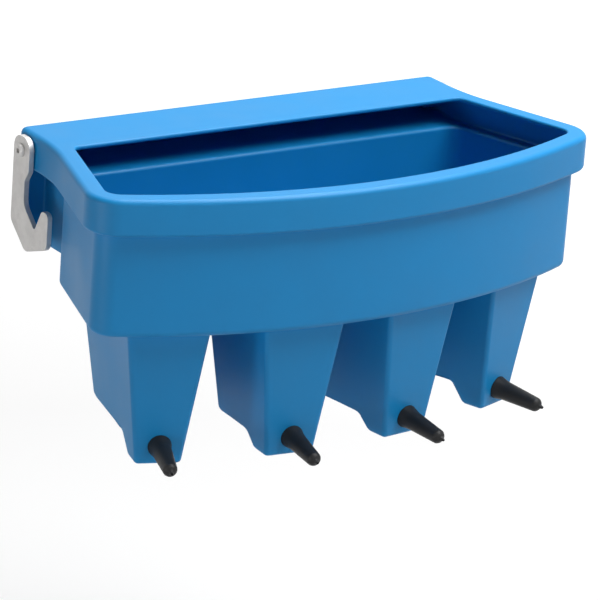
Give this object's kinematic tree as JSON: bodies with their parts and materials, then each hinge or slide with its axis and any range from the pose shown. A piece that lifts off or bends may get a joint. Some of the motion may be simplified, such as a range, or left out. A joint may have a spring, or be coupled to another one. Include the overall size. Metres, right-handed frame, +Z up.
{
  "type": "multi teat lamb feeder",
  "caption": "Gate-hung lamb feeder: an open moulded milk tank over a fan of tapered pockets, a rubber teat at the foot of each, and a swinging J hook on each ear.",
  "frame": {"origin": "middle of the flat back face, halfway between the top of the rim and the foot of the apron", "axes": "+X to the right seen from the teats' side, +Y out of the back face towards the gate, +Z up"},
  "size_m": [0.6084, 0.3244, 0.299],
  "materials": {
    "polyethylene": "rotomoulded, soft satin",
    "teat_rubber": "moulded, matt",
    "hook_plate": "zinc plated, dull",
    "fastener_steel": "zinc plated, bright",
    "insert_brass": "turned"
  },
  "bodies": {
    "feeder": {"feeder_shell": "polyethylene", "teat_1": "teat_rubber", "teat_2": "teat_rubber", "teat_3": "teat_rubber", "teat_4": "teat_rubber", "left_screw": "fastener_steel", "left_washer": "fastener_steel", "left_insert": "insert_brass", "right_screw": "fastener_steel", "right_washer": "fastener_steel", "right_insert": "insert_brass"},
    "left_hook": {"left_hook": "hook_plate"},
    "right_hook": {"right_hook": "hook_plate"}
  },
  "joints": [
    {"name": "left_hook_swing", "type": "hinge", "parent": "feeder", "child": "left_hook", "pos_m": [-0.2646, -0.021, 0.046], "axis": [1, 0, 0], "range_deg": [-20, 180]},
    {"name": "right_hook_swing", "type": "hinge", "parent": "feeder", "child": "right_hook", "pos_m": [0.2646, -0.021, 0.046], "axis": [1, 0, 0], "range_deg": [-20, 180]}
  ]
}
